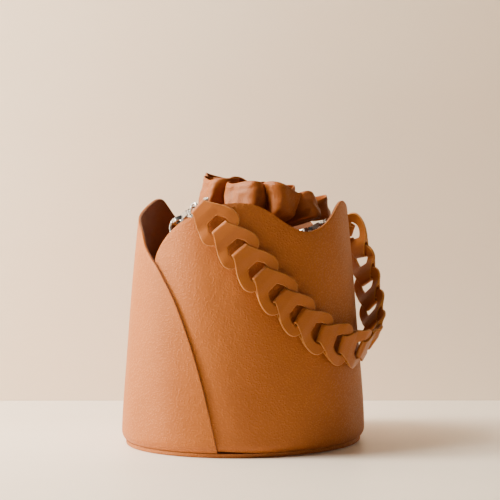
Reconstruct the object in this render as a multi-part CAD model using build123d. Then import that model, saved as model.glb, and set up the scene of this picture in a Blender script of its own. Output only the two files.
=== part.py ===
"""Bucket bag: two wrapped leather panels on an oval base, a lift-out drawstring pouch and a
chain strap of folded leather links, clipped to rings inside the walls. Millimetres, +Z up.
The origin is the centre of the base on the floor, and the strap's anchors lie near +X and -X."""
from build123d import *
import math
import os

os.makedirs("parts", exist_ok=True)

# Body
BASE_LENGTH = 240.0        # outer width of the oval at its widest, along X
BASE_WIDTH = 216.0         # outer width of the oval, along Y
BODY_HEIGHT = 229.5        # height of a panel's hump above the floor
TAPER = 0.134              # share by which the oval shrinks up to TAPER_HEIGHT
TAPER_START = 15.0
TAPER_HEIGHT = 189.0
TAPER_POWER = 1.25
CORNER_RADIUS = 10.0       # rounded turn of the wall into the base
CORNER_HEIGHT = 12.0       # height at which that turn ends
LEATHER = 1.6
LINING = 0.8
LAYER_GAP = 0.3            # air between the two panels where they overlap
WRAP_START = 214.0         # angle below which a panel tucks under the other one
WRAP_SPREAD = 30.0         # angle over which it comes out to the outer layer

# Base
SOLE_THICKNESS = 3.8
SEAM_GAP = 0.2
BOARD_THICKNESS = 2.8
BASE_LINING = 1.0
SOLE_EDGE_RADIUS = 1.5

# Pouch
POUCH_CENTRE = (5.5, -6.0)
POUCH_RADIUS = 70.0
POUCH_SKIN = 1.2
POUCH_SEAT = 0.3           # below the pouch, as soft sheets settle on each other
POUCH_SHOULDER = 148.0     # height where the pouch starts to gather in
NECK_RADIUS = 24.0
NECK_HEIGHT = 196.0
RUFFLE_RADIUS = 55.0
RUFFLE_TOP = 249.0
CORD_RADIUS = 1.5
CORD_CLEARANCE = 0.6
KEEPER_RADIUS = 4.5
KEEPER_LENGTH = 12.0
KNOT_RADIUS = 2.4

# Hardware
RING_RADIUS = 8.0          # to the middle of its wire
RING_WIRE = 1.4            # wire radius
RING_CLEARANCE = 0.25      # between the ring and its leather loop
HOOK_LIFT = 4.0            # how far the hook's plane passes above the ring's centre
HOOK_REACH = 32.5          # from the ring's centre to the strap's D ring, along the hook
HOOK_HALF = 1.7            # half of the claw's thickness
SHANK_HALF = 2.4           # half of the shank's thickness
CLAW_CENTRE = 7.2
CLAW_INNER = 4.7
CLAW_OUTER = 7.2
COLLAR_START = 21.4        # the swivel's collar, along the hook
COLLAR_END = 24.2
GATE_HALF = 1.1
PIN_RADIUS = 0.9
PIN_CLEARANCE = 0.05
STEM_RADIUS = 1.5
EYE_WIRE = 1.2
EYE_INNER = 3.4
EYE_PLAY = 0.5             # between the eye and the strap's ring that hangs in it
DRING_WIRE = 1.3
RIVET_RADIUS = 3.6

# Strap
LINK_PITCH = 27.8
LINK_LAYER = 1.4           # one layer of leather, so a link is two of them thick
LINK_LENGTH = 40.5
LINK_HALF_WIDTH = 20.2
NECK_HALF_WIDTH = 8.0
BRIDGE_PLAY = 0.3          # room for the last link's end inside the next link's fold
SLOT_START = 19.6
SLOT_END = 32.3
SLOT_HALF_WIDTH = 9.8
END_LOOP_HALF_WIDTH = 6.2
END_LOOP_GAP = 9.0         # from the right eye to the wire inside the end loop

# A panel's upper outline, from its tucked edge over the hump and the dip to the petal, as
# (angle, height). The angle runs round the oval from +X, and the back panel is turned by 180.
HUMP = [(177.5, 135), (177.7, 158), (178.8, 178), (182, 189), (186.3, 198), (191, 205),
        (197, 211.8), (204, 217.6), (213, 224), (222, 228.4), (231, 229.5), (239, 227.5),
        (247, 221), (255, 211.5), (262, 205), (268, 202.6)]
FRONT_PETAL = [(274, 203.5), (281, 207.5), (288, 215), (295.5, 223.8), (302, 228),
               (308, 228), (316, 223.5), (325, 216), (334, 207.5)]
BACK_PETAL = [(273, 205.5), (278, 212), (283, 220.5), (288, 227), (294, 227.3), (302, 223.5),
              (311, 218.5), (322, 212.5), (333, 206.5)]
SWEEP = [(342, 199), (349, 187.5), (356, 178.5), (362, 170.5), (367.5, 160), (374, 145.5),
         (380, 127), (386, 103), (391.5, 75), (396, 45), (399, 21), (400.6, 7)]

# The strap's route, as (point, direction that the face looks), from its left end to its right
# one: down across the front, round the low turn, and up beside the right wall.
ROUTE = [
    ((-93, -45.5, 227.5), (-0.86, -0.45, 0.20)),
    ((-83.5, -62, 210.5), (-0.74, -0.66, 0.10)),
    ((-71.8, -75.6, 190.2), (-0.61, -0.78, 0.10)),
    ((-57.5, -87.2, 169), (-0.47, -0.88, 0.10)),
    ((-41, -96.8, 147.8), (-0.33, -0.94, 0.08)),
    ((-21.5, -104, 127.2), (-0.17, -0.98, 0.04)),
    ((1.5, -108, 109.5), (0.02, -1.00, -0.02)),
    ((28, -110, 97.5), (0.20, -0.95, -0.22)),
    ((56, -106, 92), (0.42, -0.76, -0.50)),
    ((80, -93, 97.5), (0.66, -0.52, -0.54)),
    ((98, -75, 113.5), (0.82, -0.36, -0.45)),
    ((109, -60, 132), (0.90, -0.26, -0.35)),
    ((115.5, -47, 150), (0.93, -0.20, -0.30)),
    ((118.5, -38, 168), (0.95, -0.15, -0.20)),
    ((117.5, -33, 183), (0.96, -0.15, 0.00)),
    ((112, -32, 196), (0.93, 0.05, 0.20)),
]

# Where each hook is clipped, and the way it points at rest
RING_LEFT = (-90.5, -13.0, 206.0)
RING_RIGHT = (85.8, 12.0, 188.4)
HOOK_WAY = (0.169, -0.864, 0.475)
HOOK_SPLAY = {"left": -0.17, "right": 0.20}    # share of the way along the swing axis

NOMINAL = (240.0, 216.0, 229.5)    # the body that the outline and the route are given for
STRETCH = (BASE_LENGTH / NOMINAL[0], BASE_WIDTH / NOMINAL[1], BODY_HEIGHT / NOMINAL[2])


def stretched(point):
    """A point given for the nominal body, moved with the body's real size."""
    return Vector(*(value * share for value, share in zip(point, STRETCH)))


def catmull(a, b, c, d, t):
    """A smooth curve from b to c, with a before and d after."""
    return 0.5 * (2 * b + (c - a) * t + (2 * a - 5 * b + 4 * c - d) * t * t
                  + (3 * b - a - 3 * c + d) * t ** 3)


def along(stations, position):
    """The smooth curve through the stations, at a position counted in stations."""
    last = len(stations) - 1
    index = min(int(position), last - 1)
    rows = [stations[min(max(index + step, 0), last)] for step in (-1, 0, 1, 2)]
    return [catmull(*values, position - index) for values in zip(*rows)]


def taper(height):
    """The oval's size at a height, as a share of its size at the base."""
    above = max(height - TAPER_START, 0.0) / (TAPER_HEIGHT * STRETCH[2])
    return 1 - TAPER * above ** TAPER_POWER


def wall_point(angle, height, inset):
    """A point of the wall, inset from its outer face, by the outer face's own height."""
    turn = 0.0
    if height < CORNER_HEIGHT:
        turn = -math.asin((CORNER_HEIGHT - height) / CORNER_RADIUS)
        back = CORNER_RADIUS - (CORNER_RADIUS - inset) * math.cos(turn)
        rise = CORNER_HEIGHT + (CORNER_RADIUS - inset) * math.sin(turn)
    else:
        back = inset
        rise = height
    half_x = BASE_LENGTH / 2 * taper(height) - back
    half_y = BASE_WIDTH / 2 * taper(height) - back
    radians = math.radians(angle)
    return Vector(half_x * math.cos(radians), half_y * math.sin(radians), rise)


def tuck_inset(angle):
    """How far a panel is set in where it lies under the other panel."""
    share = min(max((angle - WRAP_START) / WRAP_SPREAD, 0.0), 1.0)
    smooth = share * share * (3 - 2 * share)
    return (LEATHER + LINING + LAYER_GAP) * (1 - smooth)


COLUMNS = 72
ROWS = 16
BOTTOM = SOLE_THICKNESS + SEAM_GAP


def sheet(outline, turn, depth):
    """One face of a panel as a spline surface, depth inside the panel's outer face."""
    grid = []
    for column in range(COLUMNS + 1):
        angle, top = along(outline, column * (len(outline) - 1) / COLUMNS)
        top *= STRETCH[2]
        inset = tuck_inset(angle) + depth
        heights = [BOTTOM + (top - BOTTOM) * (row / ROWS) ** 2 for row in range(ROWS + 1)]
        grid.append([wall_point(angle + turn, height, inset) for height in heights])
    return Face.make_surface_from_array_of_points(grid, tol=0.01)


def between(outer, inner):
    """The closed solid between two sheets of the same outline."""
    sides = []
    for edge in outer.edges():
        middle = edge @ 0.5
        partner = min(inner.edges(), key=lambda other: ((other @ 0.5) - middle).length)
        sides.append(Face.make_surface_from_curves(edge, partner))
    solid = Solid(Shell([outer, inner, *sides]))
    return solid if solid.volume > 0 else Solid(Shell([-face for face in solid.faces()]))


def panel_pair(outline, turn):
    """A panel's leather and the lining bonded to its back."""
    sheets = [sheet(outline, turn, depth) for depth in (0.0, LEATHER, LEATHER + LINING)]
    return between(sheets[0], sheets[1]), between(sheets[1], sheets[2])


def oval_disc(inset, low, high):
    """A flat oval plate, inset from the body's outer face."""
    outline = Ellipse(BASE_LENGTH / 2 - inset, BASE_WIDTH / 2 - inset)
    return Pos(0, 0, low) * extrude(outline, high - low)


def make_base():
    """The sole, the stiff board on it, and the lining over the board."""
    corner_depth = CORNER_HEIGHT - BOTTOM
    sole_inset = CORNER_RADIUS - math.sqrt(CORNER_RADIUS ** 2 - corner_depth ** 2)
    sole = oval_disc(sole_inset, 0.0, SOLE_THICKNESS)
    sole = fillet(sole.edges().group_by(Axis.Z)[0], SOLE_EDGE_RADIUS)
    inner_inset = sole_inset + LEATHER + LINING + 1.6
    board_top = SOLE_THICKNESS + BOARD_THICKNESS
    board = oval_disc(inner_inset, SOLE_THICKNESS, board_top)
    lining = oval_disc(inner_inset, board_top, board_top + BASE_LINING)
    return {"base_panel": sole, "base_board": board, "base_lining": lining}


def make_frame(origin, x_dir, face):
    """A frame whose X is x_dir and whose Z is the part of face square to it."""
    ahead = Vector(*x_dir).normalized()
    normal = Vector(*face)
    normal = (normal - ahead * normal.dot(ahead)).normalized()
    return Location(Plane(origin=origin, x_dir=ahead, z_dir=normal))


# ---------------------------------------------------------------- strap links

def link_profile(length):
    """A link cut along its length: a fold round the last link's end, then two layers as one."""
    outer = 2 * LINK_LAYER + BRIDGE_PLAY
    inner = LINK_LAYER + BRIDGE_PLAY
    flat = LINK_LENGTH - LINK_PITCH + 1.4
    body = Pos(outer, 0) * Circle(outer)
    body += make_face(Polyline((outer, outer), (flat, outer), (flat + 4.6, LINK_LAYER),
                               (length, LINK_LAYER), (length, -LINK_LAYER),
                               (flat + 4.6, -LINK_LAYER), (flat, -outer), (outer, -outer),
                               close=True))
    pocket = Pos(outer, 0) * Circle(inner)
    pocket += make_face(Polyline((outer, inner), (flat - 0.4, inner), (flat + 2.2, 0),
                                 (flat - 0.4, -inner), (outer, -inner), close=True))
    return body - pocket


def standing(profile, half_width):
    """A profile drawn in X and Z, extruded both ways along Y."""
    return extrude(Plane.XZ * profile, half_width, both=True)


def link_outline():
    """A link seen from its face: a narrow neck that widens to two round lobes."""
    side = [(-0.5, NECK_HALF_WIDTH), (4.5, NECK_HALF_WIDTH + 1.0), (12.5, 13.7),
            (20, 0.88 * LINK_HALF_WIDTH), (27, LINK_HALF_WIDTH), (33, 0.98 * LINK_HALF_WIDTH),
            (37.5, 0.81 * LINK_HALF_WIDTH), (LINK_LENGTH - 0.7, 0.58 * LINK_HALF_WIDTH),
            (LINK_LENGTH, NECK_HALF_WIDTH)]
    mirrored = [(x, -y) for x, y in side]
    edges = [Spline(*side), Line(side[-1], mirrored[-1]), Spline(*mirrored),
             Line(side[0], mirrored[0])]
    return make_face(edges)


def link_slot():
    """The six-sided slot that the next link is threaded through."""
    points = [(SLOT_START, -6), (SLOT_START, 6), (26.5, SLOT_HALF_WIDTH),
              (SLOT_END, SLOT_HALF_WIDTH), (SLOT_END, -SLOT_HALF_WIDTH),
              (26.5, -SLOT_HALF_WIDTH)]
    slot = make_face(Polyline(*points, close=True))
    return fillet(slot.vertices(), 1.4)


def flat_link():
    """A whole link, laid flat."""
    body = standing(link_profile(LINK_LENGTH), LINK_HALF_WIDTH + 2)
    body = body & extrude(link_outline(), 8, both=True)
    return body - extrude(link_slot(), 8, both=True)


def route_walk():
    """Where each link starts, at equal steps along the route, and the way its face looks."""
    steps = 40 * (len(ROUTE) - 1)
    rows = [[*stretched(point), *face] for point, face in ROUTE]
    fine = [along(rows, step / 40) for step in range(steps + 1)]
    points = [Vector(*row[:3]) for row in fine]
    travelled = [0.0]
    for before, after in zip(points, points[1:]):
        travelled.append(travelled[-1] + (after - before).length)
    count = round(travelled[-1] / LINK_PITCH)
    starts = []
    for number in range(count + 1):
        target = travelled[-1] * number / count
        nearest = min(range(steps + 1), key=lambda i: abs(travelled[i] - target))
        starts.append((points[nearest], Vector(*fine[nearest][3:])))
    return starts


def link_frames(starts, end_point):
    """One frame per link, and one for the end loop, each aimed at the next one's start."""
    ends = [point for point, _ in starts[1:]] + [end_point]
    return [make_frame(point, ahead - point, face)
            for (point, face), ahead in zip(starts, ends)]


def make_links(frames):
    """Each link bends where the next one passes through it."""
    whole = flat_link()
    reach = 4 * LINK_LENGTH
    lap = 0.7
    front = whole & Pos(LINK_PITCH + lap - reach / 2, 0, 0) * Box(reach, reach, reach)
    rear = whole & Pos(LINK_PITCH - lap + reach / 2, 0, 0) * Box(reach, reach, reach)
    links = {}
    for number, (here, ahead) in enumerate(zip(frames, frames[1:]), start=1):
        links[f"strap_link_{number:02d}"] = here * front + ahead * Pos(-LINK_PITCH, 0, 0) * rear
    return links


def make_end_loop(frame, length):
    """The plain leather loop that joins the last link to its ring."""
    outer = 2 * LINK_LAYER + BRIDGE_PLAY
    inner = LINK_LAYER + BRIDGE_PLAY
    middle = length / 2
    run = length - 2 * outer
    body = Pos(middle, 0) * SlotCenterToCenter(run, 2 * outer)
    hole = Pos(middle, 0) * SlotCenterToCenter(run, 2 * inner)
    return frame * standing(body - hole, END_LOOP_HALF_WIDTH)


def wire(points, radius, closed=False):
    """Round wire along straight runs, with a ball at each corner."""
    if closed:
        points = [*points, points[0]]
    body = None
    for start, end in zip(points, points[1:]):
        plane = Plane(origin=start, z_dir=end - start)
        length = (end - start).length
        piece = plane * extrude(Circle(radius), length)
        piece = piece + Pos(*start) * Sphere(radius)
        body = piece if body is None else body + piece
    return body if closed else body + Pos(*points[-1]) * Sphere(radius)


def make_strap_ring(bar, joint, axis):
    """The ring between the strap and a hook's eye: one straight side lies in the strap's fold,
    and the opposite side lies along the swing axis, inside the eye."""
    half = NECK_HALF_WIDTH + DRING_WIRE + 1.6
    tips = [(bar * Pos(0, sign * half, 0)).position for sign in (-1, 1)]
    corners = [joint + axis * (sign * 4.6) for sign in (-1, 1)]
    if (tips[1] - tips[0]).dot(axis) < 0:
        tips.reverse()
    shoulders = [tip + (joint - bar.position) * 0.55 for tip in tips]
    return wire([corners[0], shoulders[0], tips[0], tips[1], shoulders[1], corners[1]],
                DRING_WIRE, closed=True)


# ---------------------------------------------------------------- anchors and hooks

def make_tab(ring_centre, ring_axis):
    """A leather tab inside the wall, with a loop that holds the ring, and its rivet."""
    angle = math.degrees(math.atan2(ring_centre.Y / BASE_WIDTH, ring_centre.X / BASE_LENGTH))
    inset = 2 * (LEATHER + LINING) + 2 * LAYER_GAP
    seat_height = ring_centre.Z - RING_RADIUS
    seat = wall_point(angle, seat_height, inset)
    low = wall_point(angle, seat_height - 40, inset)
    up = (seat - low).normalized()
    side = wall_point(angle + 2, seat_height, inset) - wall_point(angle - 2, seat_height, inset)
    inward = side.cross(up).normalized()
    if inward.dot(seat) > 0:
        inward = inward * -1
    wire_low = ring_centre - Vector(0, 0, RING_RADIUS)
    reach = (wire_low - seat).dot(inward)
    rise = (wire_low - seat).dot(up)
    arm = make_face(Polyline((0.3, -38), (3.3, -38), (3.3, -11), (reach + 2.6, rise - 3),
                             (reach - 2.6, rise + 3), (0.3, -6), close=True))
    profile = arm + Pos(reach, rise) * Circle(4.0)
    frame = Location(Plane(origin=seat, x_dir=inward, z_dir=up))
    tab = frame * standing(profile, 5.0)
    ring_plane = Plane(origin=ring_centre, z_dir=ring_axis)
    tab = tab - ring_plane * Torus(RING_RADIUS, RING_WIRE + RING_CLEARANCE)
    rivet_height = -26.0
    hole = frame * Pos(0, 0, rivet_height) * Rot(0, 90, 0) * Cylinder(1.6, 12)
    shank = Rot(0, 90, 0) * Pos(0, 0, 1.8) * Cylinder(1.5, 3.2)
    head = Pos(3.35, 0, 0) * Rot(0, 90, 0) * extrude(Circle(RIVET_RADIUS), 1.4)
    head = fillet(head.edges().group_by(Axis.X)[-1], 0.9)
    rivet = frame * Pos(0, 0, rivet_height) * (shank + head)
    return tab - hole, rivet


def hook_frames():
    """Both rings' centres, the axis through them, and a frame for each hook. In a hook's frame
    X runs along the hook from the ring's centre and Z is square to the hook's flat body."""
    centres = {"left": stretched(RING_LEFT), "right": stretched(RING_RIGHT)}
    axis = (centres["right"] - centres["left"]).normalized()
    way = Vector(*HOOK_WAY)
    way = (way - axis * way.dot(axis)).normalized()
    frames = {}
    for side, centre in centres.items():
        splay = HOOK_SPLAY[side]
        ahead = way * math.sqrt(1 - splay ** 2) + axis * splay
        frames[side] = make_frame(centre, ahead, ahead.cross(axis))
    return centres, axis, frames


def make_hook(frame):
    """A snap hook, its gate, the gate's pin, and the eye that swivels in its collar."""
    level = Pos(0, 0, HOOK_LIFT)
    claw = Pos(CLAW_CENTRE, 0) * Circle(CLAW_OUTER)
    shoulder = Pos(14.0, 3.4) * Rectangle(7.0, 5.2)
    plate = extrude(claw + shoulder, HOOK_HALF, both=True)
    shank = Pos(15.75, 0, 0) * Box(6.5, 5.4, 2 * SHANK_HALF)
    bore = extrude(Pos(CLAW_CENTRE, 0) * Circle(CLAW_INNER), 6, both=True)
    mouth = Pos(8.4, 5.6, 0) * Box(8.6, 6.0, 12)
    pivot = (14.2, 4.6)
    pocket = Pos(pivot[0] - 1.2, pivot[1] + 0.3, 0) * Box(9.2, 5.6, 2 * GATE_HALF + 0.3)
    pin_hole = Pos(pivot[0], pivot[1], 0) * Cylinder(PIN_RADIUS, 12)
    rails = Pos(COLLAR_START - 1.7, 0, 0) * Box(5.4, 6.8, 2 * SHANK_HALF)
    window = Pos(COLLAR_START - 1.9, 0, 0) * Box(3.8, 4.9, 12)
    collar = Pos((COLLAR_START + COLLAR_END) / 2, 0, 0) * Rot(0, 90, 0)
    collar = collar * Cylinder(3.1, COLLAR_END - COLLAR_START)
    stem_hole = Pos(COLLAR_END, 0, 0) * Rot(0, 90, 0) * Cylinder(STEM_RADIUS + PIN_CLEARANCE, 8)
    body = plate + shank + rails + collar
    body = body - bore - mouth - pocket - pin_hole - window - stem_hole
    gate = Pos(8.9, 4.7, 0) * Box(9.4, 2.4, 2 * GATE_HALF)
    gate = gate + Pos(pivot[0], pivot[1], 0) * Cylinder(1.9, 2 * GATE_HALF)
    gate = gate - Pos(pivot[0], pivot[1], 0) * Cylinder(PIN_RADIUS + PIN_CLEARANCE, 8)
    pin = Pos(pivot[0], pivot[1], 0) * Cylinder(PIN_RADIUS, 2 * HOOK_HALF + 0.4)
    eye_centre = HOOK_REACH - EYE_INNER + DRING_WIRE + EYE_PLAY
    stem_start = COLLAR_START - 1.6
    stem_end = eye_centre - EYE_INNER - EYE_WIRE / 2
    stem = Pos((stem_start + stem_end) / 2, 0, 0) * Rot(0, 90, 0)
    eye = stem * Cylinder(STEM_RADIUS, stem_end - stem_start)
    eye = eye + Pos(stem_start + 0.7, 0, 0) * Rot(0, 90, 0) * Cylinder(2.2, 1.4)
    eye = eye + Pos(eye_centre, 0, 0) * Rot(90, 0, 0) * Torus(EYE_INNER + EYE_WIRE, EYE_WIRE)
    place = frame * level
    return place * body, place * gate, place * pin, place * eye


def parallel(points, distance):
    """Points moved sideways off a line of points, to its left."""
    moved = []
    for index, (x, y) in enumerate(points):
        before = points[max(index - 1, 0)]
        after = points[min(index + 1, len(points) - 1)]
        run = math.hypot(after[0] - before[0], after[1] - before[1])
        moved.append((x - distance * (after[1] - before[1]) / run,
                      y + distance * (after[0] - before[0]) / run))
    return moved


def make_pouch():
    """The lift-out pouch: its side, the neck that it gathers to, the ruffle above the neck,
    its flat bottom, the cord in the waist of the neck, and the keeper on the cord's ends."""
    low = SOLE_THICKNESS + BOARD_THICKNESS + BASE_LINING + POUCH_SEAT
    edge = POUCH_RADIUS - 8
    gathered = POUCH_RADIUS - NECK_RADIUS
    flare = RUFFLE_RADIUS - NECK_RADIUS
    fall = NECK_HEIGHT - POUCH_SHOULDER
    rise = RUFFLE_TOP - NECK_HEIGHT
    top = [(POUCH_RADIUS, POUCH_SHOULDER),
           (POUCH_RADIUS - 0.12 * gathered, POUCH_SHOULDER + 0.40 * fall),
           (POUCH_RADIUS - 0.60 * gathered, POUCH_SHOULDER + 0.75 * fall),
           (NECK_RADIUS + 0.5, NECK_HEIGHT - CORD_RADIUS - 1),
           (NECK_RADIUS, NECK_HEIGHT),
           (NECK_RADIUS + 0.5, NECK_HEIGHT + CORD_RADIUS + 1),
           (NECK_RADIUS + 0.52 * flare, NECK_HEIGHT + 0.27 * rise),
           (NECK_RADIUS + 0.90 * flare, NECK_HEIGHT + 0.60 * rise),
           (RUFFLE_RADIUS, RUFFLE_TOP)]
    inner_top = parallel(top, POUCH_SKIN)
    centre = Pos(*POUCH_CENTRE, 0)
    nodes = {}
    side = make_face(Polyline((edge, low), (POUCH_RADIUS, low + 14), top[0], inner_top[0],
                              (inner_top[0][0], low + 15), (edge, low + 2 * POUCH_SKIN),
                              close=True))
    nodes["pouch_body"] = centre * revolve(Plane.XZ * side, Axis.Z)
    for name, first, last in (("pouch_neck", 0, 4), ("pouch_ruffle", 4, 8)):
        out, back = top[first:last + 1], inner_top[first:last + 1]
        section = make_face([Spline(*out), Line(out[-1], back[-1]), Spline(*back),
                             Line(back[0], out[0])])
        nodes[name] = centre * revolve(Plane.XZ * section, Axis.Z)
    bottom = centre * Pos(0, 0, low) * extrude(Circle(edge), 2 * POUCH_SKIN)

    cord_ring = NECK_RADIUS + CORD_RADIUS + CORD_CLEARANCE
    keeper_start = cord_ring + 6
    end = keeper_start + KEEPER_LENGTH + 2
    away = centre * Pos(0, 0, NECK_HEIGHT) * Rot(0, 0, 50)
    cord = away * Torus(cord_ring, CORD_RADIUS)
    keeper = Pos(keeper_start + KEEPER_LENGTH / 2, 0, 0) * Rot(0, 90, 0)
    keeper = away * keeper * Cylinder(KEEPER_RADIUS, KEEPER_LENGTH)
    for sign in (-1, 1):
        side = away * Pos(0, sign * (CORD_RADIUS + 0.2), 0)
        tail = Pos((cord_ring + end) / 2, 0, 0) * Rot(0, 90, 0)
        cord = cord + side * tail * Cylinder(CORD_RADIUS, end - cord_ring)
        cord = cord + side * Pos(end + 1, sign * 0.8, 0) * Sphere(KNOT_RADIUS)
        keeper = keeper - side * tail * Cylinder(CORD_RADIUS + PIN_CLEARANCE, end - cord_ring)
    nodes.update(pouch_base=bottom, drawstring=cord, drawstring_keeper=keeper)
    return nodes


def export(name, shape):
    """Write one node, and say what it holds."""
    solids = shape.solids()
    result = solids[0] if len(solids) == 1 else Compound(children=list(solids))
    result.label = name
    export_step(result, f"parts/{name}.step")


def main():
    nodes = make_base()
    front, front_lining = panel_pair(HUMP + FRONT_PETAL + SWEEP, 0)
    back, back_lining = panel_pair(HUMP + BACK_PETAL + SWEEP, 180)
    nodes.update(front_panel=front, front_lining=front_lining,
                 back_panel=back, back_lining=back_lining)

    centres, swing_axis, frames = hook_frames()
    for side, centre in centres.items():
        nodes[f"anchor_tab_{side}"], nodes[f"tab_rivet_{side}"] = make_tab(centre, swing_axis)
        nodes[f"anchor_ring_{side}"] = (Plane(origin=centre, z_dir=swing_axis)
                                        * Torus(RING_RADIUS, RING_WIRE))
        body, gate, pin, eye = make_hook(frames[side])
        nodes[f"hook_body_{side}"] = body
        nodes[f"hook_gate_{side}"] = gate
        nodes[f"gate_pin_{side}"] = pin
        nodes[f"swivel_eye_{side}"] = eye
    joints = {side: (frame * Pos(HOOK_REACH, 0, HOOK_LIFT)).position
              for side, frame in frames.items()}

    starts = route_walk()
    last_start = starts[-1][0]
    loop_end = joints["right"] + (last_start - joints["right"]).normalized() * END_LOOP_GAP
    links = link_frames(starts, loop_end)
    nodes.update(make_links(links))
    fold = 2 * LINK_LAYER + BRIDGE_PLAY
    loop_length = (loop_end - last_start).length + fold
    nodes["strap_end_loop"] = make_end_loop(links[-1], loop_length)

    bars = {"left": links[0] * Pos(fold, 0, 0),
            "right": links[-1] * Pos(loop_length - fold, 0, 0)}
    for side, bar in bars.items():
        nodes[f"strap_ring_{side}"] = make_strap_ring(bar, joints[side], swing_axis)
    nodes.update(make_pouch())
    for name, shape in nodes.items():
        export(name, shape)


main()
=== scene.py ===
# %% [markdown]
# # A leather bucket bag with a chain strap
# The bag is two leather panels wrapped round an oval base, a soft pouch inside them, and a
# strap of folded leather links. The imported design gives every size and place, so this lesson
# only makes each piece look like what it is made of.

# %% Load the frame
import math
import bpy
from mathutils import Matrix, Vector, noise


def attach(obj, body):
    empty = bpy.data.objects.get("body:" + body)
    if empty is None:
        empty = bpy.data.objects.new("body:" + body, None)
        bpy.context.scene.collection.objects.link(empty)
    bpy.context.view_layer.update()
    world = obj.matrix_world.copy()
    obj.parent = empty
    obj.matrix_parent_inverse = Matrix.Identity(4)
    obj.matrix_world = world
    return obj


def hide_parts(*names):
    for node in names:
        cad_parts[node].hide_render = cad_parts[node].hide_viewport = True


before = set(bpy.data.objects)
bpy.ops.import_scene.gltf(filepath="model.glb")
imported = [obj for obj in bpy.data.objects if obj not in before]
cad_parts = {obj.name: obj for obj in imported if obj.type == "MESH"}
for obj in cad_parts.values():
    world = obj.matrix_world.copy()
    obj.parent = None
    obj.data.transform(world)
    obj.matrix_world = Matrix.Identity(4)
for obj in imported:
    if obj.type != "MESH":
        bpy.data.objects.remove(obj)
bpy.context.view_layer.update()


def deselect():
    """Leave nothing selected, so that the next operator only acts on its own object."""
    if bpy.context.object and bpy.context.object.mode != "OBJECT":
        bpy.ops.object.mode_set(mode="OBJECT")
    bpy.ops.object.select_all(action="DESELECT")


def pick(piece):
    """Select one object and make it the active one."""
    deselect()
    piece.select_set(True)
    bpy.context.view_layer.objects.active = piece


def clean_mesh(piece, merge=0.0):
    """Join points closer than merge, and turn every face outwards."""
    pick(piece)
    bpy.ops.object.mode_set(mode="EDIT")
    bpy.ops.mesh.select_all(action="SELECT")
    if merge:
        bpy.ops.mesh.remove_doubles(threshold=merge)
    bpy.ops.mesh.normals_make_consistent(inside=False)
    bpy.ops.object.mode_set(mode="OBJECT")


def thicken(piece, thick):
    """A solidify that grows inwards from the sheet, not yet applied."""
    solid = piece.modifiers.new("thickness", "SOLIDIFY")
    solid.thickness = thick
    solid.offset = -1
    return solid


# %% [markdown]
# ## The camera and the light
# The bag is seen from a little above its rim, from far enough away that its sides hardly
# converge. A long lens does that. The main light is a small warm one, low on the left, so it
# grazes the front and leaves its right half in shade. A weak light behind the camera keeps
# the shade readable, one above lights the folds of the pouch, and one is aimed at the wall.

# %% Camera
AWAY = Vector((-0.643, -0.766, 0.0))
SIDE = Vector((0.766, -0.643, 0.0))
CAMERA_DISTANCE = 2.0
CAMERA_HEIGHT = 0.311
LOOK_DOWN = math.radians(3.72)
bpy.ops.object.camera_add(location=AWAY * CAMERA_DISTANCE + Vector((0, 0, CAMERA_HEIGHT)))
camera = bpy.context.object
camera.name = "camera"
aim = Vector((0, 0, CAMERA_HEIGHT - CAMERA_DISTANCE * math.tan(LOOK_DOWN))) + SIDE * 0.0059
camera.rotation_euler = (aim - camera.location).to_track_quat("-Z", "Y").to_euler()
camera.data.lens = 152.5
camera.data.clip_end = 30
bpy.context.scene.camera = camera


# %% Lights
LIT_POINT = Vector((0, 0, 0.12))


def soft_light(name, right, toward_camera, up, size, power, colour):
    """An area light placed as the camera sees the room, aimed at the bag's middle."""
    place = SIDE * right + AWAY * toward_camera + Vector((0, 0, up))
    bpy.ops.object.light_add(type="AREA", location=place)
    lamp = bpy.context.object
    lamp.name = name
    lamp.data.shape = "SQUARE"
    lamp.data.size = size
    lamp.data.energy = power
    lamp.data.color = colour
    lamp.rotation_euler = (LIT_POINT - place).to_track_quat("-Z", "Y").to_euler()
    return lamp


soft_light("key_light", -1.50, 0.10, 0.66, 0.34, 50, (1.0, 0.86, 0.68))
soft_light("fill_light", 0.7, 2.0, 0.9, 0.6, 1.8, (1.0, 0.91, 0.82))
soft_light("top_light", -0.6, 0.0, 1.6, 0.5, 5, (1.0, 0.93, 0.84))
wash = soft_light("wall_wash", -0.75, 0.10, 1.25, 0.5, 32, (1.0, 0.92, 0.82))
wall_way = SIDE * 0.9 - AWAY * 0.5 - Vector((0, 0, 1.0))
wash.rotation_euler = wall_way.to_track_quat("-Z", "Y").to_euler()


# %% Light from the room
world = bpy.data.worlds.new("room")
world.use_nodes = True
room = world.node_tree.nodes["Background"]
room.inputs["Color"].default_value = (1.0, 0.93, 0.84, 1)
room.inputs["Strength"].default_value = 0.055
bpy.context.scene.world = world


# %% [markdown]
# ## Materials
# Leather's look is its grain: small rounded pebbles with fine valleys, a colour that drifts
# over the hide, and a sheen that changes with the grain. One node group makes that for every
# leather here, each with its own values, and reads the object's own coordinates, so the
# grain stays on the leather when a piece moves. The strap's links are also given a lighter
# painted rim, from the distance to the cut edge that is stored on their mesh.

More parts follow.
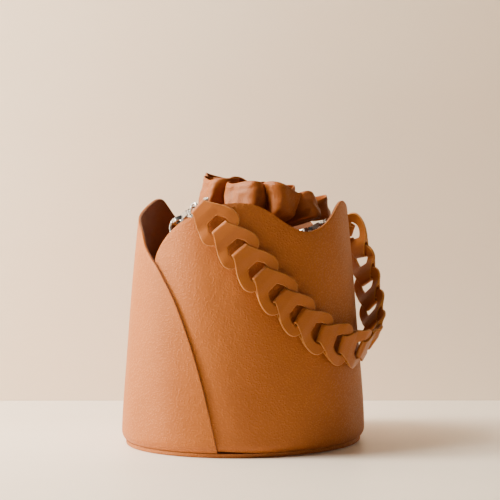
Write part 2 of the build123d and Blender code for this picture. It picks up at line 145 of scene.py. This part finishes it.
# %% Grain group
def make_grain_group():
    """Pebbled grain: colour, roughness and height from the object's coordinates."""
    group = bpy.data.node_groups.new("leather_grain", "ShaderNodeTree")
    face = group.interface
    for name, kind, start in (
            ("Colour", "NodeSocketColor", (0.5, 0.25, 0.1, 1)),
            ("Deep Colour", "NodeSocketColor", (0.3, 0.14, 0.06, 1)),
            ("Pebbles per Metre", "NodeSocketFloat", 900.0),
            ("Pebble Depth", "NodeSocketFloat", 1.0),
            ("Roughness", "NodeSocketFloat", 0.5)):
        face.new_socket(name=name, in_out="INPUT", socket_type=kind).default_value = start
    for name, kind in (("Colour", "NodeSocketColor"), ("Roughness", "NodeSocketFloat"),
                       ("Height", "NodeSocketFloat")):
        face.new_socket(name=name, in_out="OUTPUT", socket_type=kind)
    nodes, links = group.nodes, group.links
    given = nodes.new("NodeGroupInput")
    result = nodes.new("NodeGroupOutput")
    place = nodes.new("ShaderNodeTexCoord")
    bend = nodes.new("ShaderNodeTexNoise")
    bend.inputs["Scale"].default_value = 260
    bend.inputs["Detail"].default_value = 2
    shifted = nodes.new("ShaderNodeVectorMath")
    shifted.operation = "MULTIPLY_ADD"
    shifted.inputs[1].default_value = (0.0011, 0.0011, 0.0011)
    links.new(place.outputs["Object"], bend.inputs["Vector"])
    links.new(bend.outputs["Color"], shifted.inputs[0])
    links.new(place.outputs["Object"], shifted.inputs[2])
    pebbles = nodes.new("ShaderNodeTexVoronoi")
    pebbles.feature = "SMOOTH_F1"
    pebbles.inputs["Smoothness"].default_value = 0.35
    links.new(shifted.outputs[0], pebbles.inputs["Vector"])
    links.new(given.outputs["Pebbles per Metre"], pebbles.inputs["Scale"])
    dome = nodes.new("ShaderNodeMapRange")
    dome.inputs["From Min"].default_value = 0.05
    dome.inputs["From Max"].default_value = 0.62
    dome.inputs["To Min"].default_value = 1.0
    dome.inputs["To Max"].default_value = 0.0
    dome.interpolation_type = "SMOOTHSTEP"
    links.new(pebbles.outputs["Distance"], dome.inputs["Value"])
    drift = nodes.new("ShaderNodeTexNoise")
    drift.inputs["Scale"].default_value = 14
    drift.inputs["Detail"].default_value = 4
    links.new(place.outputs["Object"], drift.inputs["Vector"])
    fine = nodes.new("ShaderNodeTexNoise")
    fine.inputs["Scale"].default_value = 2600
    fine.inputs["Detail"].default_value = 2
    links.new(place.outputs["Object"], fine.inputs["Vector"])
    height = nodes.new("ShaderNodeMath")
    height.operation = "MULTIPLY_ADD"
    height.inputs[1].default_value = 0.25
    links.new(fine.outputs["Fac"], height.inputs[0])
    links.new(dome.outputs["Result"], height.inputs[2])
    depth = nodes.new("ShaderNodeMath")
    depth.operation = "MULTIPLY"
    links.new(height.outputs[0], depth.inputs[0])
    links.new(given.outputs["Pebble Depth"], depth.inputs[1])
    valley = nodes.new("ShaderNodeMapRange")
    valley.inputs["To Min"].default_value = 0.42
    valley.inputs["To Max"].default_value = 0.0
    links.new(dome.outputs["Result"], valley.inputs["Value"])
    patch = nodes.new("ShaderNodeMapRange")
    patch.inputs["From Min"].default_value = 0.3
    patch.inputs["From Max"].default_value = 0.75
    patch.inputs["To Min"].default_value = 0.0
    patch.inputs["To Max"].default_value = 0.35
    links.new(drift.outputs["Fac"], patch.inputs["Value"])
    share = nodes.new("ShaderNodeMath")
    share.operation = "ADD"
    share.use_clamp = True
    links.new(valley.outputs["Result"], share.inputs[0])
    links.new(patch.outputs["Result"], share.inputs[1])
    tint = nodes.new("ShaderNodeMix")
    tint.data_type = "RGBA"
    links.new(share.outputs[0], tint.inputs["Factor"])
    links.new(given.outputs["Colour"], tint.inputs["A"])
    links.new(given.outputs["Deep Colour"], tint.inputs["B"])
    rough = nodes.new("ShaderNodeMath")
    rough.operation = "MULTIPLY_ADD"
    rough.inputs[1].default_value = 0.22
    links.new(share.outputs[0], rough.inputs[0])
    links.new(given.outputs["Roughness"], rough.inputs[2])
    links.new(tint.outputs["Result"], result.inputs["Colour"])
    links.new(rough.outputs[0], result.inputs["Roughness"])
    links.new(depth.outputs[0], result.inputs["Height"])
    return group


GRAIN = make_grain_group()


def leather(name, colour, deep, pebbles=520.0, depth=1.0, roughness=0.45, sheen=0.03,
            edge=None):
    """A leather of this colour, with its own grain, and a lighter rim if edge is given."""
    material = bpy.data.materials.new(name)
    material.use_nodes = True
    nodes, links = material.node_tree.nodes, material.node_tree.links
    shader = nodes["Principled BSDF"]
    grain = nodes.new("ShaderNodeGroup")
    grain.node_tree = GRAIN
    grain.inputs["Colour"].default_value = (*colour, 1)
    grain.inputs["Deep Colour"].default_value = (*deep, 1)
    grain.inputs["Pebbles per Metre"].default_value = pebbles
    grain.inputs["Pebble Depth"].default_value = depth
    grain.inputs["Roughness"].default_value = roughness
    if edge:
        rim = nodes.new("ShaderNodeAttribute")
        rim.attribute_name = "from_edge"
        band = nodes.new("ShaderNodeMapRange")
        band.inputs["From Min"].default_value = 0.0002
        band.inputs["From Max"].default_value = 0.0011
        blend = nodes.new("ShaderNodeMix")
        blend.data_type = "RGBA"
        blend.inputs["A"].default_value = edge
        blend.inputs["B"].default_value = (*colour, 1)
        links.new(rim.outputs["Fac"], band.inputs["Value"])
        links.new(band.outputs["Result"], blend.inputs["Factor"])
        links.new(blend.outputs["Result"], grain.inputs["Colour"])
    bump = nodes.new("ShaderNodeBump")
    bump.inputs["Strength"].default_value = 0.85
    bump.inputs["Distance"].default_value = 0.00032
    links.new(grain.outputs["Colour"], shader.inputs["Base Color"])
    links.new(grain.outputs["Roughness"], shader.inputs["Roughness"])
    links.new(grain.outputs["Height"], bump.inputs["Height"])
    links.new(bump.outputs["Normal"], shader.inputs["Normal"])
    shader.inputs["Specular IOR Level"].default_value = 0.3
    shader.inputs["Sheen Weight"].default_value = sheen
    shader.inputs["Sheen Roughness"].default_value = 0.4
    return material


def metal(name, colour, roughness):
    """Polished steel with faint brushing."""
    material = bpy.data.materials.new(name)
    material.use_nodes = True
    nodes, links = material.node_tree.nodes, material.node_tree.links
    shader = nodes["Principled BSDF"]
    shader.inputs["Base Color"].default_value = (*colour, 1)
    shader.inputs["Metallic"].default_value = 1.0
    place = nodes.new("ShaderNodeTexCoord")
    streak = nodes.new("ShaderNodeTexNoise")
    streak.inputs["Scale"].default_value = 700
    streak.inputs["Detail"].default_value = 3
    spread = nodes.new("ShaderNodeMapRange")
    spread.inputs["To Min"].default_value = roughness
    spread.inputs["To Max"].default_value = roughness + 0.16
    links.new(place.outputs["Object"], streak.inputs["Vector"])
    links.new(streak.outputs["Fac"], spread.inputs["Value"])
    links.new(spread.outputs["Result"], shader.inputs["Roughness"])
    return material


TAN = leather("tan_pebbled_leather", (0.46, 0.140, 0.019), (0.32, 0.090, 0.011))
STRAP_COLOURS = ((0.43, 0.136, 0.021), (0.32, 0.092, 0.013))
LINK_TAN = leather("tan_link_leather", *STRAP_COLOURS, pebbles=1300, depth=0.35,
                   roughness=0.33, edge=(0.66, 0.29, 0.07, 1))
SMOOTH_TAN = leather("tan_strap_leather", *STRAP_COLOURS, pebbles=1300, depth=0.35,
                     roughness=0.36)
SOFT_TAN = leather("soft_pouch_leather", (0.39, 0.110, 0.014), (0.23, 0.058, 0.007),
                   pebbles=1000, depth=0.5, roughness=0.34)
EDGE_TAN = leather("painted_edge", (0.66, 0.27, 0.07), (0.50, 0.18, 0.04),
                   pebbles=2400, depth=0.15, roughness=0.5)
SUEDE = leather("brown_lining", (0.20, 0.070, 0.024), (0.13, 0.042, 0.015),
                pebbles=1900, depth=0.4, roughness=0.8, sheen=0.35)
SOLE_LEATHER = leather("sole_leather", (0.48, 0.16, 0.03), (0.34, 0.10, 0.018))
STEEL = metal("polished_steel", (0.50, 0.51, 0.53), 0.16)


def dress(piece, *materials):
    """Give a piece its materials, in place of what it has."""
    piece.data.materials.clear()
    for material in materials:
        piece.data.materials.append(material)


# %% [markdown]
# ## The two wrapped panels
# A panel is one sheet of leather, bent round an oval that narrows upwards and turned under at
# the base. Its upper edge runs from a tucked end over a hump, down into a dip, up to a petal,
# and sweeps down to the base. A flat grid is bent to that shape, so each row follows the
# edge. Solidify gives the leather its thickness, and a small bevel rounds its painted edge.

# %% The shape of the wall
HALF_LENGTH = 0.120
HALF_WIDTH = 0.108
LEATHER_THICK = 0.0016
LINING_THICK = 0.0008
SKIN_ROOM = 0.0003          # room left for the skin's slight waves, inside the design's face
TUCK = 0.0027               # how far one panel is set in where the other covers it
TURN_HEIGHT = 0.012         # where the wall starts to turn in under the bag
TURN_RADIUS = 0.010
LEAN = 0.134                # how much narrower the top is, as a share
LEAN_START = 0.015
LEAN_SPAN = 0.189
HUMP = [(177.5, 135), (177.7, 158), (178.8, 178), (182, 189), (186.3, 198), (191, 205),
        (197, 211.8), (204, 217.6), (213, 224), (222, 228.4), (231, 229.5), (239, 227.5),
        (247, 221), (255, 211.5), (262, 205), (268, 202.6)]
FRONT_PETAL = [(274, 203.5), (281, 207.5), (288, 215), (295.5, 223.8), (302, 228),
               (308, 228), (316, 223.5), (325, 216), (334, 207.5)]
BACK_PETAL = [(273, 205.5), (278, 212), (283, 220.5), (288, 227), (294, 227.3), (302, 223.5),
              (311, 218.5), (322, 212.5), (333, 206.5)]
SWEEP = [(342, 199), (349, 187.5), (356, 178.5), (362, 170.5), (367.5, 160), (374, 145.5),
         (380, 127), (386, 103), (391.5, 75), (396, 45), (399, 21), (400.6, 7)]


def smooth(value):
    """0 to 1, gently, as value goes from 0 to 1."""
    value = min(max(value, 0.0), 1.0)
    return value * value * (3 - 2 * value)


def between(a, b, c, d, t):
    """The smooth curve from b to c, with a before and d after."""
    return 0.5 * (2 * b + (c - a) * t + (2 * a - 5 * b + 4 * c - d) * t * t
                  + (3 * b - a - 3 * c + d) * t ** 3)


def edge_station(outline, share):
    """The angle and height of a panel's edge, share of the way along its stations."""
    last = len(outline) - 1
    position = share * last
    index = min(int(position), last - 1)
    rows = [outline[min(max(index + step, 0), last)] for step in (-1, 0, 1, 2)]
    return [between(*values, position - index) for values in zip(*rows)]


def wall(angle, height, inset):
    """A point of the wall, in metres, set in from its outer face."""
    above = max(height - LEAN_START, 0.0) / LEAN_SPAN
    share = 1 - LEAN * above ** 1.25
    if height < TURN_HEIGHT:
        turn = -math.asin((TURN_HEIGHT - height) / TURN_RADIUS)
        back = TURN_RADIUS - (TURN_RADIUS - inset) * math.cos(turn)
        rise = TURN_HEIGHT + (TURN_RADIUS - inset) * math.sin(turn)
    else:
        back, rise = inset, height
    radians = math.radians(angle)
    return Vector(((HALF_LENGTH * share - back) * math.cos(radians),
                   (HALF_WIDTH * share - back) * math.sin(radians), rise))


def tuck(angle):
    """How far the panel is set in where the other one covers it."""
    return TUCK * (1 - smooth((angle - 214) / 30))


# %% Bend a grid into a panel
def bent_panel(name, outline, turn, depth, thick, lower):
    """One sheet of the wall: depth below the outer face, its edge lowered a little."""
    deselect()
    bpy.ops.mesh.primitive_grid_add(x_subdivisions=260, y_subdivisions=70, size=1)
    piece = bpy.context.object
    piece.name = name
    for vertex in piece.data.vertices:
        share = min(max(vertex.co.x + 0.5, 0.0), 1.0)
        climb = min(max(vertex.co.y + 0.5, 0.0), 1.0)
        angle, top = edge_station(outline, share)
        top = max(top / 1000 - lower, 0.005)
        height = 0.004 + (top - 0.004) * climb ** 1.6
        relief = 0.00035 * math.sin(angle * 0.21 + height * 31) * smooth(height / 0.03)
        vertex.co = wall(angle + turn, height, tuck(angle) + depth + relief + SKIN_ROOM)
    clean_mesh(piece)
    middle = piece.data.polygons[len(piece.data.polygons) // 2]
    if middle.normal.dot(Vector((middle.center.x, middle.center.y, 0))) < 0:
        piece.data.flip_normals()
    solid = thicken(piece, thick)
    solid.material_offset_rim = 1
    solid.use_even_offset = True
    bpy.ops.object.modifier_apply(modifier="thickness")
    bevel = piece.modifiers.new("rounded_edge", "BEVEL")
    bevel.width = thick * 0.3
    bevel.segments = 2
    bevel.limit_method = "ANGLE"
    bevel.angle_limit = math.radians(50)
    bpy.ops.object.modifier_apply(modifier="rounded_edge")
    bpy.ops.object.shade_smooth()
    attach(piece, "bag")
    return piece


OUTLINES = {"front": (HUMP + FRONT_PETAL + SWEEP, 0), "back": (HUMP + BACK_PETAL + SWEEP, 180)}
for side, (outline, turn) in OUTLINES.items():
    shell = bent_panel(f"{side}_leather", outline, turn, 0, LEATHER_THICK - SKIN_ROOM, 0)
    dress(shell, TAN, EDGE_TAN)
    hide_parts(f"{side}_panel")
    inner = bent_panel(f"{side}_inner", outline, turn, LEATHER_THICK, LINING_THICK, 0.0004)
    dress(inner, SUEDE, EDGE_TAN)
    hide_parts(f"{side}_lining")
    print(side, "panel", len(shell.data.polygons), "faces")


# %% [markdown]
# ## The strap's links
# A link is one flat cut-out, narrow at the middle of its length and round at both ends, with
# a six-sided slot near each end. It is threaded through the last link's slots and folded in
# half, so its two ends lie on each other and the next link goes through both slots. The
# folded link is made once, flat: its side view and its outline are each extruded, and what
# they share is kept. A remesh and a smoothing round its edges as burnishing does. A shallow
# creased line is pressed in beside the cut edge of the round end.

# %% Outline and slot of a link
LINK_PITCH = 0.0278         # from one link's fold to the next
FOLD_RADIUS = 0.0031        # outside of the fold
FOLD_HOLLOW = 0.0017        # inside of the fold, round the last link's end
LINK_SIDE = [(-0.0006, 0.0082), (0.0045, 0.0093), (0.0125, 0.0139), (0.020, 0.0178),
             (0.027, 0.0201), (0.033, 0.0198), (0.0375, 0.0166), (0.0398, 0.0118),
             (0.0405, 0.0080)]
SLOT = [(0.0194, -0.0056), (0.0194, 0.0056), (0.0262, 0.0096), (0.0318, 0.0096),
        (0.0328, 0.0086), (0.0328, -0.0086), (0.0318, -0.0096), (0.0262, -0.0096)]


def outline_points():
    """The link's whole outline, counter-clockwise, as a smooth closed line."""
    side = [edge_station([(1000 * x, 1000 * y) for x, y in LINK_SIDE], step / 36)
            for step in range(37)]
    upper = [(x / 1000, y / 1000) for x, y in side]
    return [(x, -y) for x, y in upper] + upper[::-1]


def folded_side():
    """The link from its side: its upper line, and the hollow inside its fold."""
    top = [(FOLD_RADIUS - FOLD_RADIUS * math.cos(math.radians(turn)),
            FOLD_RADIUS * math.sin(math.radians(turn))) for turn in range(0, 91, 10)]
    top += [(x / 1000, (3.1 - 1.7 * smooth((x - 9.5) / 12.5)) / 1000) for x in range(4, 42)]
    hollow = [(FOLD_RADIUS - FOLD_HOLLOW * math.cos(math.radians(turn)),
               FOLD_HOLLOW * math.sin(math.radians(turn))) for turn in range(0, 91, 15)]
    hollow += [(0.0128, FOLD_HOLLOW), (0.0142, 0.0013), (0.0156, 0.0)]
    mirrored = [(x, -z) for x, z in hollow[-2::-1]]
    return top, [*hollow, *mirrored[:-1]]


def prism(name, points, direction, reach):
    """A closed flat outline extruded both ways: direction is "Y" or "Z"."""
    deselect()
    bpy.ops.mesh.primitive_circle_add(vertices=len(points), radius=0.01, fill_type="NGON")
    piece = bpy.context.object
    piece.name = name
    for vertex, (x, other) in zip(piece.data.vertices, points):
        vertex.co = (x, -reach, other) if direction == "Y" else (x, other, -reach)
    move = (0, 2 * reach, 0) if direction == "Y" else (0, 0, 2 * reach)
    bpy.ops.object.mode_set(mode="EDIT")
    bpy.ops.mesh.select_all(action="SELECT")
    bpy.ops.mesh.extrude_region_move(TRANSFORM_OT_translate={"value": move})
    bpy.ops.mesh.select_all(action="SELECT")
    bpy.ops.mesh.normals_make_consistent(inside=False)
    bpy.ops.object.mode_set(mode="OBJECT")
    return piece


def cut(piece, tool, operation):
    """Apply a boolean and remove its tool."""
    pick(piece)
    step = piece.modifiers.new("cut", "BOOLEAN")
    step.operation = operation
    step.solver = "EXACT"
    step.object = tool
    bpy.ops.object.modifier_apply(modifier="cut")
    bpy.data.objects.remove(tool)


# %% Tools for a link
def line_gap(x, y, points):
    """Distance from a point to a closed line."""
    best = 1.0
    for (ax, ay), (bx, by) in zip(points, points[1:] + points[:1]):
        dx, dy = bx - ax, by - ay
        run = dx * dx + dy * dy
        t = 0.0 if run == 0 else min(max(((x - ax) * dx + (y - ay) * dy) / run, 0.0), 1.0)
        best = min(best, math.hypot(x - ax - t * dx, y - ay - t * dy))
    return best


def rounded(piece, voxel, passes):
    """Even small faces, then a smoothing that rounds every edge."""
    pick(piece)
    remesh = piece.modifiers.new("even_faces", "REMESH")
    remesh.mode = "VOXEL"
    remesh.voxel_size = voxel
    bpy.ops.object.modifier_apply(modifier="even_faces")
    relax = piece.modifiers.new("round_edges", "SMOOTH")
    relax.factor = 0.5
    relax.iterations = passes
    bpy.ops.object.modifier_apply(modifier="round_edges")
    bpy.ops.object.shade_smooth()


# %% Model one link
CREASE_AT = 0.0016          # distance of the creased line from the cut edge
CREASE_DEPTH = 0.0001
CREASE_WIDTH = 0.00045


def flat_link():
    """One link, laid flat, with the distance to its cut edge stored on it."""
    top, hollow = folded_side()
    side_view = top + [(x, -z) for x, z in top[::-1][:-1]]
    link = prism("flat_link", side_view, "Y", 0.024)
    cut(link, prism("outline", outline_points(), "Z", 0.006), "INTERSECT")
    cut(link, prism("slot", SLOT, "Z", 0.006), "DIFFERENCE")
    cut(link, prism("hollow", hollow, "Y", 0.026), "DIFFERENCE")
    rounded(link, 0.0005, 4)
    rim = link.data.attributes.new("from_edge", "FLOAT", "POINT")
    border = outline_points()
    for index, vertex in enumerate(link.data.vertices):
        gap = min(line_gap(vertex.co.x, vertex.co.y, border),
                  line_gap(vertex.co.x, vertex.co.y, SLOT) + 0.0004)
        rim.data[index].value = gap
        if vertex.co.x > 0.016:
            groove = CREASE_DEPTH * math.exp(-((gap - CREASE_AT) / CREASE_WIDTH) ** 2)
            vertex.co.z -= math.copysign(groove, vertex.co.z)
    print("one link has", len(link.data.polygons), "faces")
    return link


# %% [markdown]
# ## The way the strap hangs
# The strap leaves the left hook over the rim, slants down across the front, turns low on the
# right and climbs beside the wall to the right hook. Its line is a smooth curve through the
# places of its folds, and each link starts one step further along. A link isn't straight:
# its first half follows its own step and its round end follows the next one, so a copy of the
# flat link is bent smoothly between the two.

# %% Places of the links
ROUTE = [
    ((-93, -45.5, 227.5), (-0.86, -0.45, 0.20)), ((-83.5, -62, 210.5), (-0.74, -0.66, 0.10)),
    ((-71.8, -75.6, 190.2), (-0.61, -0.78, 0.10)), ((-57.5, -87.2, 169), (-0.47, -0.88, 0.10)),
    ((-41, -96.8, 147.8), (-0.33, -0.94, 0.08)), ((-21.5, -104, 127.2), (-0.17, -0.98, 0.04)),
    ((1.5, -108, 109.5), (0.02, -1.00, -0.02)), ((28, -110, 97.5), (0.20, -0.95, -0.22)),
    ((56, -106, 92), (0.42, -0.76, -0.50)), ((80, -93, 97.5), (0.66, -0.52, -0.54)),
    ((98, -75, 113.5), (0.82, -0.36, -0.45)), ((109, -60, 132), (0.90, -0.26, -0.35)),
    ((115.5, -47, 150), (0.93, -0.20, -0.30)), ((118.5, -38, 168), (0.95, -0.15, -0.20)),
    ((117.5, -33, 183), (0.96, -0.15, 0.00)), ((112, -32, 196), (0.93, 0.05, 0.20)),
]
STRAP_END = Vector((0.1030, -0.0196, 0.2027))


def strap_steps():
    """Where each link starts, at equal steps along the strap's line, and its facing."""
    rows = [(*point, *facing) for point, facing in ROUTE]
    steps = 40 * (len(rows) - 1)
    fine = [edge_station(rows, step / steps) for step in range(steps + 1)]
    points = [Vector(row[:3]) / 1000 for row in fine]
    travelled = [0.0]
    for before, after in zip(points, points[1:]):
        travelled.append(travelled[-1] + (after - before).length)
    count = round(travelled[-1] / LINK_PITCH)
    starts = []
    for number in range(count + 1):
        target = travelled[-1] * number / count
        nearest = min(range(steps + 1), key=lambda i: abs(travelled[i] - target))
        starts.append((points[nearest], Vector(fine[nearest][3:])))
    return starts


def step_frame(start, ahead, facing):
    """A matrix whose X runs along the strap and whose Z is the way the link faces."""
    along = (ahead - start).normalized()
    up = (facing - along * facing.dot(along)).normalized()
    across = up.cross(along)
    matrix = Matrix((along, across, up)).transposed().to_4x4()
    matrix.translation = start
    return matrix


starts = strap_steps()
ends = [point for point, _ in starts[1:]] + [STRAP_END]
FRAMES = [step_frame(point, ahead, facing) for (point, facing), ahead in zip(starts, ends)]
print(len(FRAMES) - 1, "links")


# %% Bend a copy for every step
BEND_START = 0.0155         # where along a link it starts to follow the next step
BEND_SPAN = 0.0165


def bent_link(model, number):
    """A copy of the flat link, bent from its own step to the next one."""
    piece = bpy.data.objects.new(f"leather_link_{number:02d}", model.data.copy())
    bpy.context.scene.collection.objects.link(piece)
    here, after = FRAMES[number - 1], FRAMES[number]
    for vertex in piece.data.vertices:
        co = vertex.co
        turn = smooth((co.x - BEND_START) / BEND_SPAN)
        own = here @ co
        next_one = after @ Vector((co.x - LINK_PITCH, co.y, co.z))
        vertex.co = own.lerp(next_one, turn)
    dress(piece, LINK_TAN)
    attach(piece, "strap")
    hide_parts(f"strap_link_{number:02d}")
    return piece


model_link = flat_link()
for number in range(1, len(FRAMES)):
    bent_link(model_link, number)
bpy.data.objects.remove(model_link)

# %% [markdown]
# ## Small leather pieces
# The tabs that hold the rings, the loop that ends the strap and the cord's keeper are cut
# from the same leather. Their design solids have the right shape, so each is copied and
# rounded in the same way as a link.


# %% Round a leather solid
def softened(node, name, body, material, voxel, passes):
    """A copy of a design node with rounded edges, in place of the node."""
    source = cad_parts[node]
    piece = bpy.data.objects.new(name, source.data.copy())
    bpy.context.scene.collection.objects.link(piece)
    clean_mesh(piece, merge=0.00001)
    rounded(piece, voxel, passes)
    dress(piece, material)
    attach(piece, body)
    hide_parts(node)
    return piece


softened("strap_end_loop", "leather_end_loop", "strap", SMOOTH_TAN, 0.00055, 3)
for side in ("left", "right"):
    softened(f"anchor_tab_{side}", f"leather_tab_{side}", "bag", TAN, 0.0005, 3)
softened("drawstring_keeper", "leather_keeper", "pouch", SMOOTH_TAN, 0.0005, 3)


# %% [markdown]
# ## The pouch
# Soft thin leather is gathered by a cord into a neck, and stands up above it as a ruffle of
# deep rounded folds. A grid is wrapped into a tube that follows the pouch's profile. One wave
# with uneven steps pushes it in and out, more towards the hem, with wide folds and narrow
# valleys between them. Swinging the same points sideways makes each fold overhang its
# valleys. Noise then crumples the ruffle, and its hem sinks towards one side.

# %% Profile and folds of the pouch
POUCH_MIDDLE = Vector((0.0055, -0.006, 0.0))
PROFILE = [(0.0615, 0.0093), (0.0678, 0.0150), (0.0690, 0.030), (0.0690, 0.080),
           (0.0690, 0.125), (0.0675, 0.148), (0.0610, 0.167), (0.0400, 0.184),
           (0.0255, 0.1925), (0.0232, 0.1960), (0.0262, 0.2000), (0.0400, 0.2065),
           (0.0495, 0.2150), (0.0520, 0.2250), (0.0500, 0.2360), (0.0465, 0.2460)]
FOLDS = 9
FOLD_DEPTH = 0.0105
SHOULDER = 0.150            # height where the gathers start
RUFFLE_START = 0.197        # height of the cord, where the ruffle starts
POUCH_SKIN = 0.0011


def fold_phase(angle):
    """Where a direction falls in the uneven row of folds."""
    return (FOLDS * angle + 1.0 * math.sin(angle + 0.4) + 0.6 * math.sin(2 * angle + 2.6)
            + 0.45 * math.sin(3 * angle + 5.0))


def hem_droop(out, wave, second, drift):
    """How far the hem rises or sinks in this direction."""
    aside = out.dot(SIDE)
    return (-0.0150 * max(aside, 0) - 0.0035 * min(aside, 0) - 0.0010
            + 0.0030 * wave + 0.0060 * drift + 0.0018 * second)


def surface_waves(place, angle, height, climb, above):
    """Crumples and creases of the ruffle, the body's slump and the hem's turned band."""
    crumple = above * 0.0036 * noise.noise(place * 55)
    crease = above * 0.0020 * (0.5 - abs(noise.noise(place * 95 + Vector((5, 2, 9)))))
    slump = 0.0016 * math.sin(3 * angle + 40 * height) * smooth(height / 0.05)
    slump *= 1 - smooth((height - 0.135) / 0.04)
    hem = 0.0007 * smooth((climb - 0.962) / 0.006)
    return slump + crumple + crease + hem


def pouch_point(angle, climb):
    """A point of the pouch's skin: climb runs from 0 at its bottom to 1 at its hem."""
    climb += 0.12 * climb * (1 - climb)
    radius, height = edge_station(PROFILE, climb)
    above = smooth((height - RUFFLE_START) / 0.026) if climb > 0.6 else 0.0
    gather = smooth((height - SHOULDER) / 0.035) * (1 - 0.6 * above)
    round_place = Vector((math.cos(angle), math.sin(angle), 0))
    phase = fold_phase(angle)
    wave = 1 - 2 * (0.5 - 0.5 * math.cos(phase)) ** 1.5
    second = math.cos(2 * phase + 0.7 + 1.5 * math.sin(3 * angle))
    drift = noise.noise(round_place * 2.3 + Vector((3.1, 7.4, 0)))
    radius += above * (FOLD_DEPTH * (1 + 0.9 * drift) * wave + 0.0014 * second)
    radius += gather * (0.0020 * wave + 0.0011 * second) * min(radius / 0.03, 1.4)
    angle += above * (0.138 + 0.05 * drift) * math.sin(phase)
    angle += gather * 0.012 * math.sin(2 * phase)
    angle += above * 0.16 * noise.noise(round_place * 3 + Vector((0, 0, 45 * height)))
    out = Vector((math.cos(angle), math.sin(angle), 0))
    droop = above * hem_droop(out, wave, second, drift) * smooth((height - 0.200) / 0.036)
    place = out * radius + Vector((0, 0, height))
    radius += surface_waves(place, angle, height, climb, above)
    point = POUCH_MIDDLE + SIDE * 0.0115 * above + out * (radius - 0.0005)
    point.z = height + droop
    return point


# %% Gather the pouch
def gathered_pouch():
    """The pouch's skin, from its bottom seam to its hem."""
    deselect()
    bpy.ops.mesh.primitive_grid_add(x_subdivisions=440, y_subdivisions=104, size=1)
    piece = bpy.context.object
    piece.name = "gathered_pouch"
    for vertex in piece.data.vertices:
        vertex.co = pouch_point(2 * math.pi * (vertex.co.x + 0.5), vertex.co.y + 0.5)
    clean_mesh(piece, merge=0.00002)
    low_face = min(piece.data.polygons, key=lambda face: abs(face.center.z - 0.09))
    if low_face.normal.dot(low_face.center - POUCH_MIDDLE) < 0:
        piece.data.flip_normals()
    thicken(piece, POUCH_SKIN)
    bpy.ops.object.modifier_apply(modifier="thickness")
    bpy.ops.object.shade_smooth()
    dress(piece, SOFT_TAN)
    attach(piece, "pouch")
    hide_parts("pouch_body", "pouch_neck", "pouch_ruffle")
    return piece


pouch = gathered_pouch()
print("pouch", len(pouch.data.polygons), "faces")

# %% [markdown]
# ## Pieces that keep their design shape
# The steel hooks, rings, rivets and eyes are already right, and so are the hidden base
# pieces, so they only need their finishes.

# %% Finish the design pieces
for node, material in (("base_panel", SOLE_LEATHER), ("base_board", SUEDE),
                       ("base_lining", SUEDE), ("pouch_base", SOFT_TAN),
                       ("drawstring", SMOOTH_TAN)):
    dress(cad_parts[node], material)
for side in ("left", "right"):
    for part in ("tab_rivet", "anchor_ring", "swivel_eye", "hook_body", "gate_pin",
                 "hook_gate", "strap_ring"):
        dress(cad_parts[f"{part}_{side}"], STEEL)

# %% [markdown]
# ## The table and the wall
# The bag stands on a pale stone table in front of a plain cream wall. Both are flat sheets
# with a little mottling. The wall is clear from behind, so the bag can be seen from all
# sides.

# %% Mottled surfaces
def plaster(name, colour, deep, roughness, see_through_back):
    """A mottled mineral surface."""
    material = bpy.data.materials.new(name)
    material.use_nodes = True
    nodes, links = material.node_tree.nodes, material.node_tree.links
    shader = nodes["Principled BSDF"]
    shader.inputs["Roughness"].default_value = roughness
    place = nodes.new("ShaderNodeTexCoord")
    cloud = nodes.new("ShaderNodeTexNoise")
    cloud.inputs["Scale"].default_value = 5
    cloud.inputs["Detail"].default_value = 7
    cloud.inputs["Roughness"].default_value = 0.62
    ramp = nodes.new("ShaderNodeMapRange")
    ramp.inputs["From Min"].default_value = 0.3
    ramp.inputs["From Max"].default_value = 0.72
    tint = nodes.new("ShaderNodeMix")
    tint.data_type = "RGBA"
    tint.inputs["A"].default_value = (*colour, 1)
    tint.inputs["B"].default_value = (*deep, 1)
    links.new(place.outputs["Object"], cloud.inputs["Vector"])
    links.new(cloud.outputs["Fac"], ramp.inputs["Value"])
    links.new(ramp.outputs["Result"], tint.inputs["Factor"])
    links.new(tint.outputs["Result"], shader.inputs["Base Color"])
    if see_through_back:
        clear = nodes.new("ShaderNodeBsdfTransparent")
        choice = nodes.new("ShaderNodeMixShader")
        face = nodes.new("ShaderNodeNewGeometry")
        links.new(face.outputs["Backfacing"], choice.inputs[0])
        links.new(shader.outputs[0], choice.inputs[1])
        links.new(clear.outputs[0], choice.inputs[2])
        links.new(choice.outputs[0], nodes["Material Output"].inputs["Surface"])
    return material


# %% Lay the table and stand the wall
WALL_BEHIND = 0.275         # distance of the wall behind the bag's middle
TABLE_SIZE = (12.0, 4.0)
WALL_SIZE = (8.0, 5.0)
heading = math.atan2(SIDE.y, SIDE.x)


def flat_sheet(name, size, tilt, place, material):
    """A large flat sheet, square to the view."""
    deselect()
    bpy.ops.mesh.primitive_plane_add(size=1)
    sheet = bpy.context.object
    sheet.name = name
    sheet.scale = (*size, 1)
    sheet.rotation_euler = (tilt, 0, heading)
    sheet.location = place
    dress(sheet, material)
    return sheet


STONE = plaster("pale_stone", (0.95, 0.88, 0.78), (0.84, 0.75, 0.63), 0.42, False)
PLASTER = plaster("cream_plaster", (0.97, 0.85, 0.71), (0.92, 0.74, 0.55), 0.9, True)
table = flat_sheet("table", TABLE_SIZE, 0, AWAY * (TABLE_SIZE[1] / 2 - WALL_BEHIND), STONE)
backdrop = flat_sheet("wall", WALL_SIZE, math.pi / 2,
                      AWAY * -WALL_BEHIND + Vector((0, 0, WALL_SIZE[1] / 2)), PLASTER)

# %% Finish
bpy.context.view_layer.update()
